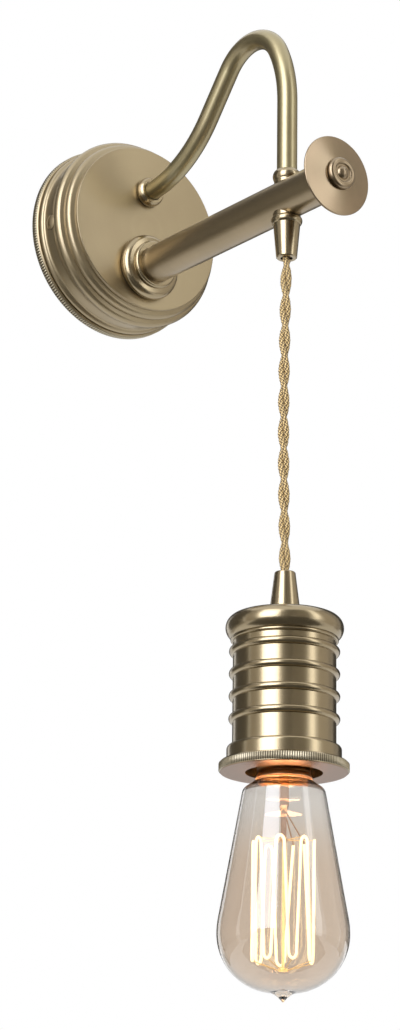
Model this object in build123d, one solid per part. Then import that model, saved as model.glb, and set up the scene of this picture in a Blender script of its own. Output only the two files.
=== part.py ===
"""Hanging pendant wall sconce: a stepped wall rose, a plain arm, a swan-neck tube that carries the
twisted flex over the arm, and a ribbed lampholder with a pear-shaped filament bulb.

Millimetres.  Origin: centre of the wall plate's back face.  +Y goes into the wall, so the light
stands out along -Y; +Z is up; +X is to the right of someone who faces the wall.  Heights along a
turned wall piece are called "out": the distance from the wall.
"""
import os
from math import asin, cos, degrees, hypot, radians, sin, sqrt

from build123d import *

os.makedirs("parts", exist_ok=True)

# ------------------------------------------------------------------ clearances
FIT = 0.05            # a turned piece in its own bore, per side
SLIP = 0.3            # pieces that pass each other, per side

# ------------------------------------------------------------------ wall plate
PLATE_R = 54.1        # outer radius of the knurled edge
PLATE_RIM = 5.2       # thickness of the edge
PLATE_FLOOR = 3.0     # thickness behind the cover
PLATE_EDGE_ROUND = 0.6
SPIGOT_WALL = 2.4     # upstanding ring that the cover slips over
SPIGOT_OUT = 19.5     # how far the ring stands out from the wall
WALL_SLOT_SPACING = 64.0
WALL_SLOT_W = 4.8
WALL_SLOT_L = 12.0
CABLE_HOLE_R = 7.0

# ------------------------------------------------------------------ cover (spun, stepped)
FACE_OUT = 33.6       # flat front face, from the wall
COVER_WALL = 1.6
BEAD_IN = 0.9         # "in" is how much smaller a radius is than the plate's: bead next to the plate
BEAD_W = 3.2
BAND_IN = 2.7         # plain band with the side screws
BAND_WALL = 1.9
BAND_END = 15.5
ROLL_IN = 0.5         # crest of the large roll
ROLL_OUT = 21.8
STEP_OUT = 25.4       # groove between the roll and the step ring
STEP_IN = 3.7
STEP_GROOVE = 0.6
FACE_GROOVE_OUT = 31.0
FACE_GROOVE_IN = 7.5
FACE_IN = 7.0
FACE_ROUND = 0.5
SIDE_SCREW_ANGLE = 184.0
SIDE_SCREW_OUT = 14.2
SIDE_SCREW_COUNT = 2
SCREW_R = 2.0
SCREW_HEAD_R = 4.1
SCREW_HEAD_H = 1.7
SCREW_SLOT_W = 1.0
SCREW_SLOT_D = 0.8
SCREW_L = 7.0
SCREW_SEAT = 0.6      # depth of the flat that its head sits on

# ------------------------------------------------------------------ arm
ARM_Z = -24.1         # axis height
ARM_R = 10.4
ARM_WALL = 1.3
ARM_END_OUT = 195.6   # tip of the tube
ARM_COLLAR_R = 18.4
ARM_COLLAR_H = 7.6
ARM_COLLAR_NECK_R = 12.9
ARM_COLLAR_BEAD_R = 13.5
ARM_COLLAR_BEAD_H = 2.6
ARM_BUSH_L = 9.0
NIPPLE_R = 5.0        # hollow threaded rod that fixes the arm to the cover
NIPPLE_BORE_R = 3.6
NIPPLE_INSIDE = 8.0   # how far the rod stands inside the cover
NUT_ACROSS = 15.0
NUT_H = 3.2
WASHER_R = 9.0
WASHER_H = 1.0

# ------------------------------------------------------------------ end disc and finial
DISC_R = 21.1
DISC_T = 1.2
DISC_RISE = 2.0       # height of the shallow cone
END_BUSH_L = 10.0
FINIAL_R = 8.35
FINIAL_H = 3.4
FINIAL_GROOVE_R = 4.6
FINIAL_TIP_R = 3.7
FINIAL_TIP_H = 2.3
FINIAL_STEM_R = 3.0
FINIAL_STEM_L = 9.0

# ------------------------------------------------------------------ swan neck
NECK_R = 5.3
NECK_WALL = 0.9
NECK_IN = 33.1        # its foot is this far in from the plate's edge
NECK_LEAD = 1.9       # straight length outside the cover's face
NECK_RISE_R = 68.5    # bend up out of the cover
NECK_SLOPE = 50.8     # degrees above level on the straight run
NECK_RUN = 28.5       # straight run between the two bends
NECK_ARCH_R = 25.3    # tight bend over the top
NECK_EASE_R = 68.8    # slow bend down to the arm
NECK_EASE = 27.9      # degrees of the slow bend
NECK_COLLAR_R = 8.3
NECK_COLLAR_H = 5.4
NECK_COLLAR_GAP = 0.25       # room for the start of the bend
NECK_INSIDE = 9.0     # how far the tube stands inside the cover
NECK_NUT_ACROSS = 15.5
UPPER_COLLAR_R = 7.4
UPPER_COLLAR_BASE_R = 6.7
UPPER_COLLAR_CREST = 2.3     # crest above the arm's top
UPPER_COLLAR_TOP = 5.6       # top above the arm's top

# ------------------------------------------------------------------ outlet below the arm
OUTLET_COLLAR_R = 8.1
OUTLET_COLLAR_BASE_R = 7.2
OUTLET_COLLAR_DROP = 3.6     # below the arm's underside
CONE_TOP_R = 7.0
CONE_MOUTH_R = 5.35
CONE_L = 18.6
CONE_BORE_R = 3.15
CONE_LIP = 4.0
OUTLET_NIPPLE_WALL = 0.9
OUTLET_NIPPLE_UP = 8.0
OUTLET_NIPPLE_DOWN = 7.0
GRIP_L = 5.0

# ------------------------------------------------------------------ flex
FLEX_R = 2.65
FLEX_BEND_R = 2.4            # ball that stands for the bending stretch at the mouth
FLEX_BEND_GAP = 0.1
FLEX_PIVOT_BELOW_MOUTH = 0.3
FLEX_CUP_LIFT = 1.3          # the fixed stretch ends this far above the pivot
FLEX_TOP_DROP = 0.3          # the hanging stretch starts this far below the pivot
FLEX_HANG = 167.9            # mouth to the lampholder's cone
FLEX_IN_HOLDER = 12.0
FLEX_TURN_R = 12.0           # bend to the terminal block inside the cover

# ------------------------------------------------------------------ terminal block
BLOCK_W = 22.0
BLOCK_H = 9.0
BLOCK_D = 13.0
BLOCK_SCREW_R = 1.6
BLOCK_SCREW_H = 1.0
BLOCK_SCREW_COUNT = 3
EARTH_X = -16.0
EARTH_Z = -28.0
EARTH_SCREW_R = 2.0
EARTH_HEAD_R = 3.6
EARTH_HEAD_H = 2.4
EARTH_TAG_R = 4.6
EARTH_TAG_T = 0.8
EARTH_TAG_L = 13.0

# ------------------------------------------------------------------ lampholder
HOLDER_CONE_TOP_R = 5.3
HOLDER_CONE_R = 7.7
HOLDER_CONE_L = 20.2
HOLDER_CONE_ROUND = 0.9
HOLDER_CONE_BORE_L = 7.0
CAP_TOP_DROP = 2.4           # fall of the cap's top from the cone to the roll
CAP_ROLL_R = 6.4             # section radius of the rolled edge
CAP_OVER = 3.8               # the cap, bead, ribs and ring stand this far out from the body
CAP_LIP = 1.0                # the roll's lower end stands this far out from the body
CAP_WALL = 1.4
BODY_R = 25.5
BODY_WALL = 1.2
BODY_BEAD_OVER = 1.3
BODY_BEAD_H = 1.7
RIB_COUNT = 4
RIB_PITCH = 11.34
RIB_OVER = 1.9
RIB_SECTION_R = 2.0
FIRST_RIB_DROP = 6.62         # from the underside of the cap
LAST_RIB_TO_RING = 13.5
RING_COLLAR_OVER = 2.7
RING_COLLAR_H = 8.1
RING_COLLAR_ROUND = 2.0
RING_FLANGE_OVER = 6.0
RING_FLANGE_T = 5.0
RING_HOLE_R = 19.0
RING_EDGE_ROUND = 0.4
HOLDER_NUT_ACROSS = 14.0
HOLDER_NUT_H = 3.0
INSERT_TOP_H = 20.0          # solid part above the lamp cap
INSERT_SHOULDER_R = 17.5
INSERT_SKIRT = 12.0          # length of the wide part
SHELL_WALL = 0.45
SHELL_L = 15.0
SHELL_ABOVE_CAP = 1.0        # shell's upper edge above the lamp cap's top
TONGUE_ROOM = 4.0            # hollow above the lamp's contact
SHELL_GAP = 0.35             # lamp cap to screw shell, per side
TONGUE_W = 5.0
TONGUE_T = 0.5
TONGUE_L = 10.0
TONGUE_POST = 2.0
TERMINAL_X = 9.0
TERMINAL_R = 2.2
TERMINAL_H = 3.0

# ------------------------------------------------------------------ bulb ("up" is from its tip)
LAMP_CAP_DROP = 3.2          # ring's underside to the lower edge of the lamp cap
CROWN_FLAT_R = 4.0           # the rounded end's centre lies this far off the axis
CROWN_R = 28.0
BELT_R = 41.3                # easing from the widest point to the straight side
SIDE_TILT = 10.2             # degrees off upright
SIDE_L = 61.9
SHOULDER_R = 4.2
SHOULDER_TILT = 55.0
SHOULDER_RUN = 5.45
NECK_EASE_IN_R = 3.4
NECK_L = 12.36
PIP_H = 4.63                 # height and radius where the drawn tip meets the rounded end
PIP_R = 6.5
PIP_TIP_R = 0.4
GLASS_T = 0.8
NECK_IN_CAP = 14.17          # length of the glass inside the metal cap
LAMP_CAP_R = 13.2
LAMP_CAP_L = 24.6
LAMP_CAP_WALL = 0.35
LAMP_SKIRT_R = 13.9
LAMP_SKIRT_H = 2.4
LAMP_SHOULDER_R = 9.6
LAMP_SHOULDER_H = 3.0
INSULATOR_H = 2.4
CONTACT_R = 4.8
CONTACT_H = 1.5
FLARE_T = 1.0                # glass disc that closes the neck
STEM_R = 2.5
STEM_PRESS_UP = 93.5         # pinched end of the stem
STEM_ROD_R = 1.4
STAR_TOP_UP = 77.0
STAR_LOW_UP = 14.5
LOW_HOOK_RISE = 4.0          # the lower supports slope up to the filament
STAR_R = 2.2
STAR_T = 1.2
LOW_ROD_R = 0.7
CAGE_R = 15.0
CAGE_STRANDS = 14
CAGE_START_ANGLE = 32.4      # first end of the filament, from +X
LEAD_BELOW_PRESS = 2.0
HOOK_R = 0.25
FILAMENT_R = 0.45
LEAD_R = 0.3
THREAD_PITCH = 3.62          # right-hand thread of the lamp cap
UNSCREW_TURNS = 7.5

# ------------------------------------------------------------------ places worked out from the sizes
NECK_Z = PLATE_R - NECK_IN
BEAD_R = PLATE_R - BEAD_IN
BAND_R = PLATE_R - BAND_IN
ROLL_R = PLATE_R - ROLL_IN
STEP_R = PLATE_R - STEP_IN
FACE_GROOVE_R = PLATE_R - FACE_GROOVE_IN
FACE_R = PLATE_R - FACE_IN
COVER_BORE_R = BAND_R - BAND_WALL
SPIGOT_R = COVER_BORE_R - SLIP
ARM_BORE_R = ARM_R - ARM_WALL
ARM_TOP_Z = ARM_Z + ARM_R
ARM_UNDER_Z = ARM_Z - ARM_R
COVER_INSIDE = FACE_OUT - COVER_WALL - 0.4
DISC_BACK_OUT = ARM_END_OUT
DISC_FRONT_OUT = DISC_BACK_OUT + DISC_T + DISC_RISE
OUTLET_COLLAR_Z = ARM_UNDER_Z - OUTLET_COLLAR_DROP
MOUTH_Z = OUTLET_COLLAR_Z - CONE_L
PIVOT_Z = MOUTH_Z - FLEX_PIVOT_BELOW_MOUTH
HOLDER_TOP_Z = MOUTH_Z - FLEX_HANG
HOLDER_CONE_Z = HOLDER_TOP_Z - HOLDER_CONE_L
CAP_ROLL_TOP_Z = HOLDER_CONE_Z - CAP_TOP_DROP
CAP_ROLL_Z = CAP_ROLL_TOP_Z - CAP_ROLL_R
CAP_R = BODY_R + CAP_OVER
BODY_BEAD_R = BODY_R + BODY_BEAD_OVER
RIB_R = BODY_R + RIB_OVER
RING_COLLAR_R = BODY_R + RING_COLLAR_OVER
RING_FLANGE_R = BODY_R + RING_FLANGE_OVER
CAP_ROLL_CENTRE_R = CAP_R - CAP_ROLL_R
CAP_END_R = BODY_R + CAP_LIP
CAP_END_Z = CAP_ROLL_Z - sqrt(CAP_ROLL_R ** 2 - (CAP_END_R - CAP_ROLL_CENTRE_R) ** 2)
BODY_TOP_Z = CAP_END_Z
FIRST_RIB_Z = BODY_TOP_Z - FIRST_RIB_DROP
LAST_RIB_Z = FIRST_RIB_Z - (RIB_COUNT - 1) * RIB_PITCH
FLANGE_TOP_Z = LAST_RIB_Z - LAST_RIB_TO_RING - RING_COLLAR_H
FLANGE_UNDER_Z = FLANGE_TOP_Z - RING_FLANGE_T
LAMP_CAP_END_Z = FLANGE_UNDER_Z - LAMP_CAP_DROP
LAMP_CAP_TOP_Z = LAMP_CAP_END_Z + LAMP_CAP_L
CONTACT_TOP_Z = LAMP_CAP_TOP_Z + INSULATOR_H + CONTACT_H
SHELL_R = LAMP_CAP_R + SHELL_GAP
BLOCK_UNDER_Z = NECK_Z + FLEX_TURN_R
BLOCK_OUT = PLATE_FLOOR + BLOCK_D / 2
NECK_BORE_R = NECK_R - NECK_WALL

BASE = (Align.CENTER, Align.CENTER, Align.MIN)
QUARTER_TURN = 90


# ------------------------------------------------------------------ helpers
def section(*steps):
    """Closed (radius, height) outline.  A step is a point, or a pair: a point on an arc and its end."""
    here = steps[0]
    edges = []
    for step in steps[1:]:
        if isinstance(step[0], tuple):
            through, end = step
            edges.append(ThreePointArc(here, through, end))
        else:
            end = step
            edges.append(Line(here, end))
        here = end
    if hypot(here[0] - steps[0][0], here[1] - steps[0][1]) > 1e-6:
        edges.append(Line(here, steps[0]))
    return make_face(edges)


def turned(*steps):
    """Solid of revolution about Z from a (radius, height) outline."""
    return revolve(Plane.XZ * section(*steps), Axis.Z)


def from_wall(shape, height=0.0):
    """Turn a solid made along +Z so that it stands out of the wall, its axis at this height."""
    return Pos(0, 0, height) * Rot(90, 0, 0) * shape


def dome(radius, low, height):
    """Arc step from the rim of a round top to its crown on the axis."""
    ball = (radius ** 2 + height ** 2) / (2 * height)
    return ((radius / 2, low + height - ball + sqrt(ball ** 2 - radius ** 2 / 4)), (0, low + height))


def ring(outer, inner, low, high):
    return turned((inner, low), (outer, low), (outer, high), (inner, high))


def rod(radius, low, high):
    return turned((0, low), (radius, low), (radius, high), (0, high))


def hex_nut(across, height, bore, low):
    blank = RegularPolygon(across / 2, 6, major_radius=False) - Circle(bore)
    return Pos(0, 0, low) * extrude(blank, height)


def on_lamp_axis(shape):
    return Pos(0, -REACH, 0) * shape


def keep(node, *solids):
    """Write one node; identical small parts may share it as separate solids."""
    shape = solids[0] if len(solids) == 1 else Compound(children=list(solids))
    export_step(shape, f"parts/{node}.step")


# ------------------------------------------------------------------ swan-neck line
def neck_line(start_out, end_z, lead_in=None):
    """Centre line in the (out, height) plane: level, up, over the arch and straight down."""
    bend_out = FACE_OUT + NECK_LEAD
    runs = [lead_in] if lead_in else []
    start = (start_out, NECK_Z)
    runs.append(Line(start, (bend_out, NECK_Z)))
    rise = JernArc(start=(bend_out, NECK_Z), tangent=(1, 0), radius=NECK_RISE_R, arc_size=NECK_SLOPE)
    run = PolarLine(rise @ 1, NECK_RUN, NECK_SLOPE)
    over = JernArc(run @ 1, run % 1, NECK_ARCH_R, NECK_EASE - NECK_SLOPE - QUARTER_TURN)
    ease = JernArc(over @ 1, over % 1, NECK_EASE_R, -NECK_EASE)
    down = Line(ease @ 1, ((ease @ 1).X, end_z))
    return runs + [rise, run, over, ease, down]


SIDE_VIEW = Plane(origin=(0, 0, 0), x_dir=(0, -1, 0), z_dir=(-1, 0, 0))
REACH = (neck_line(FACE_OUT, ARM_UNDER_Z)[-1] @ 1).X


def tube_along(runs, outer, inner=0.0):
    path = SIDE_VIEW * Wire(runs)
    across = Plane(origin=path @ 0, z_dir=path % 0)
    face = across * Circle(outer)
    if inner:
        face -= across * Circle(inner)
    return sweep(face, path)


# ------------------------------------------------------------------ wall plate and cover
def wall_plate():
    edge = PLATE_EDGE_ROUND
    body = turned((CABLE_HOLE_R, 0), (PLATE_R - edge, 0), (PLATE_R, edge),
                  (PLATE_R, PLATE_RIM - edge), (PLATE_R - edge, PLATE_RIM), (SPIGOT_R, PLATE_RIM),
                  (SPIGOT_R, SPIGOT_OUT), (SPIGOT_R - SPIGOT_WALL, SPIGOT_OUT),
                  (SPIGOT_R - SPIGOT_WALL, PLATE_FLOOR), (CABLE_HOLE_R, PLATE_FLOOR))
    slot = extrude(SlotOverall(WALL_SLOT_L, WALL_SLOT_W), 3 * PLATE_FLOOR, both=True)
    for side in (-1, 1):
        body -= Pos(side * WALL_SLOT_SPACING / 2, 0, 0) * slot
    plate = from_wall(body)
    for place in side_screw_places():
        plate -= place * rod(SCREW_R + FIT, COVER_BORE_R - 2 * SCREW_L, COVER_BORE_R + 1)
    plate -= Pos(EARTH_X, 0, EARTH_Z) * Rot(90, 0, 0) * rod(EARTH_SCREW_R + FIT, -1, PLATE_FLOOR + 1)
    return plate


def side_screw_places():
    """Frames whose +Z points out of the cover's side at each side screw."""
    places = []
    for number in range(SIDE_SCREW_COUNT):
        angle = SIDE_SCREW_ANGLE + number * 360 / SIDE_SCREW_COUNT
        places.append(Pos(0, -SIDE_SCREW_OUT, 0) * Rot(0, 90 - angle, 0))
    return places


def cover():
    bead_mid = PLATE_RIM + BEAD_W / 2
    bead_top = PLATE_RIM + BEAD_W
    step_low = STEP_OUT + STEP_GROOVE
    shell = turned(
        (COVER_BORE_R, PLATE_RIM), (BEAD_R - 0.7, PLATE_RIM),
        ((BEAD_R, bead_mid), (BEAD_R - 0.8, bead_top)),
        ((BAND_R + 0.25, bead_top + 0.6), (BAND_R, bead_top + 2.0)),
        (BAND_R, BAND_END),
        ((BAND_R + 0.45, BAND_END + 2.2), (ROLL_R - 0.8, ROLL_OUT - 2.3)),
        ((ROLL_R, ROLL_OUT), (ROLL_R - 1.4, ROLL_OUT + 2.7)),
        (STEP_R - 0.4, STEP_OUT), (STEP_R, step_low), (STEP_R, step_low + 1.4),
        ((STEP_R - 0.8, step_low + 3.4), (STEP_R - 2.3, FACE_GROOVE_OUT - 0.7)),
        (FACE_GROOVE_R, FACE_GROOVE_OUT), (FACE_R, FACE_GROOVE_OUT + 0.6),
        (FACE_R, FACE_OUT - FACE_ROUND),
        ((FACE_R - 0.29 * FACE_ROUND, FACE_OUT - 0.29 * FACE_ROUND), (FACE_R - FACE_ROUND, FACE_OUT)),
        (0, FACE_OUT), (0, COVER_INSIDE), (FACE_GROOVE_R - COVER_WALL, COVER_INSIDE),
        (FACE_GROOVE_R - COVER_WALL, FACE_GROOVE_OUT - COVER_WALL),
        (STEP_R - COVER_WALL - 0.4, STEP_OUT + 1.2), (STEP_R - COVER_WALL - 0.4, STEP_OUT - 1.6),
        (COVER_BORE_R, STEP_OUT - 3.2))
    shell = from_wall(shell)
    shell -= from_wall(rod(NIPPLE_R + FIT, COVER_INSIDE - 1, FACE_OUT + 1), ARM_Z)
    shell -= from_wall(rod(NECK_R + FIT, COVER_INSIDE - 1, FACE_OUT + 1), NECK_Z)
    for place in side_screw_places():
        shell -= place * rod(SCREW_R + FIT, COVER_BORE_R - 1, BAND_R + 1)
        shell -= place * rod(SCREW_HEAD_R + SLIP, BAND_R - SCREW_SEAT, BAND_R + 3)
    return shell


def side_screws():
    seat = BAND_R - SCREW_SEAT
    body = turned((0, seat - SCREW_L), (SCREW_R, seat - SCREW_L), (SCREW_R, seat), (SCREW_HEAD_R, seat),
                  (SCREW_HEAD_R, seat + SCREW_HEAD_H / 3),
                  dome(SCREW_HEAD_R, seat + SCREW_HEAD_H / 3, 2 * SCREW_HEAD_H / 3))
    body -= Pos(0, 0, seat + SCREW_HEAD_H) * Box(3 * SCREW_HEAD_R, SCREW_SLOT_W, 2 * SCREW_SLOT_D)
    return [place * body for place in side_screw_places()]


def terminal_block():
    body = Pos(0, -BLOCK_OUT, BLOCK_UNDER_Z + BLOCK_H / 2) * Box(BLOCK_W, BLOCK_D, BLOCK_H)
    return fillet(body.edges().filter_by(Axis.Y), 1.0)


def terminal_screws():
    front = PLATE_FLOOR + BLOCK_D
    pitch = BLOCK_W / BLOCK_SCREW_COUNT
    first = -pitch * (BLOCK_SCREW_COUNT - 1) / 2
    screw = from_wall(rod(BLOCK_SCREW_R, front, front + BLOCK_SCREW_H), BLOCK_UNDER_Z + BLOCK_H / 2)
    return [Pos(first + number * pitch, 0, 0) * screw for number in range(BLOCK_SCREW_COUNT)]


def earth_tag():
    outline = Circle(EARTH_TAG_R) + Pos(EARTH_TAG_L / 2, 0) * Rectangle(EARTH_TAG_L, EARTH_TAG_R)
    outline -= Circle(EARTH_SCREW_R + FIT)
    tag = Pos(0, 0, PLATE_FLOOR) * extrude(outline, EARTH_TAG_T)
    return Pos(EARTH_X, 0, 0) * from_wall(tag, EARTH_Z)


def earth_screw():
    seat = PLATE_FLOOR + EARTH_TAG_T
    body = turned((0, 0.2), (EARTH_SCREW_R, 0.2), (EARTH_SCREW_R, seat), (EARTH_HEAD_R, seat),
                  (EARTH_HEAD_R, seat + EARTH_HEAD_H), (0, seat + EARTH_HEAD_H))
    return Pos(EARTH_X, 0, 0) * from_wall(body, EARTH_Z)


# ------------------------------------------------------------------ arm
def arm_tube():
    tube = from_wall(ring(ARM_R, ARM_BORE_R, FACE_OUT, ARM_END_OUT), ARM_Z)
    return tube - on_lamp_axis(rod(NECK_R + FIT, ARM_Z - 2 * ARM_R, ARM_Z + 2 * ARM_R))


def arm_collar():
    bore = ARM_R + FIT
    top = ARM_COLLAR_H
    bead = top + ARM_COLLAR_BEAD_H
    body = turned((bore, 0), (ARM_COLLAR_R - 1.8, 0),
                  ((ARM_COLLAR_R, 0.46 * top), (ARM_COLLAR_R - 2.6, 0.93 * top)),
                  (ARM_COLLAR_NECK_R, top),
                  ((ARM_COLLAR_BEAD_R, top + ARM_COLLAR_BEAD_H / 2), (ARM_COLLAR_NECK_R - 0.5, bead)),
                  (bore, bead))
    return from_wall(Pos(0, 0, FACE_OUT) * body, ARM_Z)


def arm_bush():
    low = FACE_OUT + 0.5
    return from_wall(ring(ARM_BORE_R - FIT, NIPPLE_R + FIT, low, low + ARM_BUSH_L), ARM_Z)


def arm_nipple():
    low = COVER_INSIDE - NIPPLE_INSIDE
    return from_wall(ring(NIPPLE_R, NIPPLE_BORE_R, low, FACE_OUT + 0.5 + ARM_BUSH_L), ARM_Z)


def arm_washer():
    return from_wall(ring(WASHER_R, NIPPLE_R + FIT, COVER_INSIDE - WASHER_H, COVER_INSIDE), ARM_Z)


def arm_nut():
    low = COVER_INSIDE - WASHER_H - NUT_H
    return from_wall(hex_nut(NUT_ACROSS, NUT_H, NIPPLE_R + FIT, low), ARM_Z)


def end_bush():
    low = ARM_END_OUT - END_BUSH_L
    return from_wall(ring(ARM_BORE_R - FIT, FINIAL_STEM_R + FIT, low, ARM_END_OUT), ARM_Z)


def end_disc():
    """Shallow turned cone with a flat seat for the finial."""
    body = turned((FINIAL_STEM_R + FIT, DISC_BACK_OUT), (DISC_R - 0.3, DISC_BACK_OUT),
                  ((DISC_R, DISC_BACK_OUT + DISC_T / 2), (DISC_R - 0.3, DISC_BACK_OUT + DISC_T)),
                  (FINIAL_R + 0.2, DISC_FRONT_OUT), (FINIAL_STEM_R + FIT, DISC_FRONT_OUT))
    return from_wall(body, ARM_Z)


def finial():
    seat = DISC_FRONT_OUT
    dip = seat + 0.76 * FINIAL_H
    body = turned((0, seat - FINIAL_STEM_L), (FINIAL_STEM_R, seat - FINIAL_STEM_L), (FINIAL_STEM_R, seat),
                  (FINIAL_R - 1.0, seat),
                  ((FINIAL_R, seat + FINIAL_H / 2), (FINIAL_R - 2.2, seat + FINIAL_H)),
                  ((0.62 * FINIAL_R, seat + 0.97 * FINIAL_H), (FINIAL_GROOVE_R, dip)),
                  (FINIAL_TIP_R, dip), dome(FINIAL_TIP_R, dip, FINIAL_TIP_H))
    return from_wall(body, ARM_Z)


# ------------------------------------------------------------------ swan neck
def swan_neck():
    runs = neck_line(COVER_INSIDE - NECK_INSIDE, OUTLET_COLLAR_Z + 0.2)
    return tube_along(runs, NECK_R, NECK_BORE_R)


def neck_collar():
    bore = NECK_R + NECK_COLLAR_GAP
    body = turned((bore, 0), (NECK_COLLAR_R - 0.9, 0),
                  ((NECK_COLLAR_R, 0.5 * NECK_COLLAR_H), (NECK_COLLAR_R - 1.3, NECK_COLLAR_H)),
                  (bore, NECK_COLLAR_H))
    return from_wall(Pos(0, 0, FACE_OUT) * body, NECK_Z)


def neck_nut():
    return from_wall(hex_nut(NECK_NUT_ACROSS, NUT_H, NECK_R + FIT, COVER_INSIDE - NUT_H), NECK_Z)


def saddle(body):
    """Cut the arm's round out of a collar that sits on it."""
    cutter = from_wall(rod(ARM_R + FIT, REACH - 4 * ARM_R, REACH + 4 * ARM_R), ARM_Z)
    return on_lamp_axis(body) - cutter


def upper_collar():
    bore = NECK_R + FIT
    top = ARM_TOP_Z + UPPER_COLLAR_TOP
    body = turned((bore, ARM_Z + ARM_R / 4), (UPPER_COLLAR_BASE_R, ARM_Z + ARM_R / 4),
                  (UPPER_COLLAR_BASE_R, ARM_TOP_Z),
                  ((UPPER_COLLAR_R, ARM_TOP_Z + UPPER_COLLAR_CREST), (bore + 0.6, top)), (bore, top))
    return saddle(body)


def outlet_collar():
    bore = NECK_R + FIT
    body = turned((bore, ARM_Z - ARM_R / 4), (bore, OUTLET_COLLAR_Z), (CONE_TOP_R + 0.1, OUTLET_COLLAR_Z),
                  ((OUTLET_COLLAR_R, OUTLET_COLLAR_Z + OUTLET_COLLAR_DROP / 2),
                   (OUTLET_COLLAR_BASE_R, ARM_UNDER_Z + 0.4)),
                  (OUTLET_COLLAR_BASE_R, ARM_Z - ARM_R / 4))
    return saddle(body)


def outlet_nipple():
    outer = NECK_BORE_R - FIT
    return on_lamp_axis(ring(outer, outer - OUTLET_NIPPLE_WALL, OUTLET_COLLAR_Z - OUTLET_NIPPLE_DOWN,
                             OUTLET_COLLAR_Z + OUTLET_NIPPLE_UP))


def outlet_cone():
    return on_lamp_axis(turned((NECK_BORE_R, OUTLET_COLLAR_Z), (CONE_TOP_R, OUTLET_COLLAR_Z),
                               (CONE_MOUTH_R + 0.05, MOUTH_Z + 0.5), (CONE_MOUTH_R - 0.4, MOUTH_Z),
                               (CONE_BORE_R, MOUTH_Z), (CONE_BORE_R, MOUTH_Z + CONE_LIP),
                               (NECK_BORE_R, MOUTH_Z + CONE_LIP)))


def outlet_grip():
    low = MOUTH_Z + CONE_LIP
    return on_lamp_axis(ring(NECK_BORE_R - FIT, FLEX_R + FIT, low, low + GRIP_L))


# ------------------------------------------------------------------ flex
def inner_flex():
    """Flex held all the way: terminal block, swan neck, outlet."""
    bend = JernArc(start=(BLOCK_OUT, BLOCK_UNDER_Z), tangent=(0, -1), radius=FLEX_TURN_R, arc_size=QUARTER_TURN)
    runs = neck_line(BLOCK_OUT + FLEX_TURN_R, PIVOT_Z + FLEX_CUP_LIFT, bend)
    cup = on_lamp_axis(Pos(0, 0, PIVOT_Z) * Sphere(FLEX_BEND_R + FLEX_BEND_GAP))
    return tube_along(runs, FLEX_R) - cup


def flex_bend():
    return on_lamp_axis(Pos(0, 0, PIVOT_Z) * Sphere(FLEX_BEND_R))


def flex():
    top = PIVOT_Z - FLEX_TOP_DROP
    body = rod(FLEX_R, HOLDER_TOP_Z - FLEX_IN_HOLDER, top)
    body -= Pos(0, 0, PIVOT_Z) * Sphere(FLEX_BEND_R + FLEX_BEND_GAP)
    return on_lamp_axis(body)


# ------------------------------------------------------------------ lampholder
def holder_cone():
    bore = FLEX_R + FIT
    low = HOLDER_CONE_Z
    step = HOLDER_TOP_Z - HOLDER_CONE_BORE_L
    edge = HOLDER_CONE_ROUND
    return on_lamp_axis(turned((bore, HOLDER_TOP_Z), (HOLDER_CONE_TOP_R - edge, HOLDER_TOP_Z),
                               ((HOLDER_CONE_TOP_R - 0.29 * edge, HOLDER_TOP_Z - 0.29 * edge),
                                (HOLDER_CONE_TOP_R, HOLDER_TOP_Z - edge)),
                               (HOLDER_CONE_R, low), (NIPPLE_R + FIT, low), (NIPPLE_R + FIT, step),
                               (bore, step)))


def holder_nipple():
    low = HOLDER_CONE_Z - CAP_WALL - HOLDER_NUT_H - 1
    return on_lamp_axis(ring(NIPPLE_R, NIPPLE_BORE_R, low, HOLDER_CONE_Z + HOLDER_CONE_L
                             - HOLDER_CONE_BORE_L - 0.2))


def holder_nut():
    low = HOLDER_CONE_Z - CAP_WALL - HOLDER_NUT_H
    return on_lamp_axis(hex_nut(HOLDER_NUT_ACROSS, HOLDER_NUT_H, NIPPLE_R + FIT, low))


def holder_cap():
    """Turned cap whose rim is rolled over a large half-round."""
    roll = CAP_ROLL_CENTRE_R
    inner = CAP_ROLL_R - CAP_WALL
    seat = HOLDER_CONE_R + 0.3
    hub = HOLDER_NUT_ACROSS / 2 + 1.6
    return on_lamp_axis(turned(
        (NIPPLE_R + FIT, HOLDER_CONE_Z), (seat, HOLDER_CONE_Z), (roll, CAP_ROLL_TOP_Z),
        ((roll + CAP_ROLL_R, CAP_ROLL_Z), (CAP_END_R, CAP_END_Z)),
        (BODY_R - BODY_WALL - 0.6, CAP_END_Z),
        (roll + inner * cos(radians(-60)), CAP_ROLL_Z + inner * sin(radians(-60))),
        ((roll + inner * cos(radians(15)), CAP_ROLL_Z + inner * sin(radians(15))),
         (roll, CAP_ROLL_Z + inner)),
        (hub, HOLDER_CONE_Z - CAP_WALL), (NIPPLE_R + FIT, HOLDER_CONE_Z - CAP_WALL)))


def holder_body():
    """Ribbed sleeve: a bead under the cap, then evenly spaced half-round ribs."""
    inner = BODY_R - BODY_WALL
    steps = [(inner, BODY_TOP_Z), (BODY_BEAD_R - 0.5, BODY_TOP_Z),
             ((BODY_BEAD_R, BODY_TOP_Z - BODY_BEAD_H / 2), (BODY_R, BODY_TOP_Z - BODY_BEAD_H))]
    for number in range(RIB_COUNT):
        rib_z = FIRST_RIB_Z - number * RIB_PITCH
        half = sqrt(RIB_SECTION_R ** 2 - (BODY_R - (RIB_R - RIB_SECTION_R)) ** 2)
        steps += [(BODY_R, rib_z + half), ((RIB_R, rib_z), (BODY_R, rib_z - half))]
    steps += [(BODY_R, FLANGE_TOP_Z), (inner, FLANGE_TOP_Z)]
    return on_lamp_axis(turned(*steps))


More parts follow.
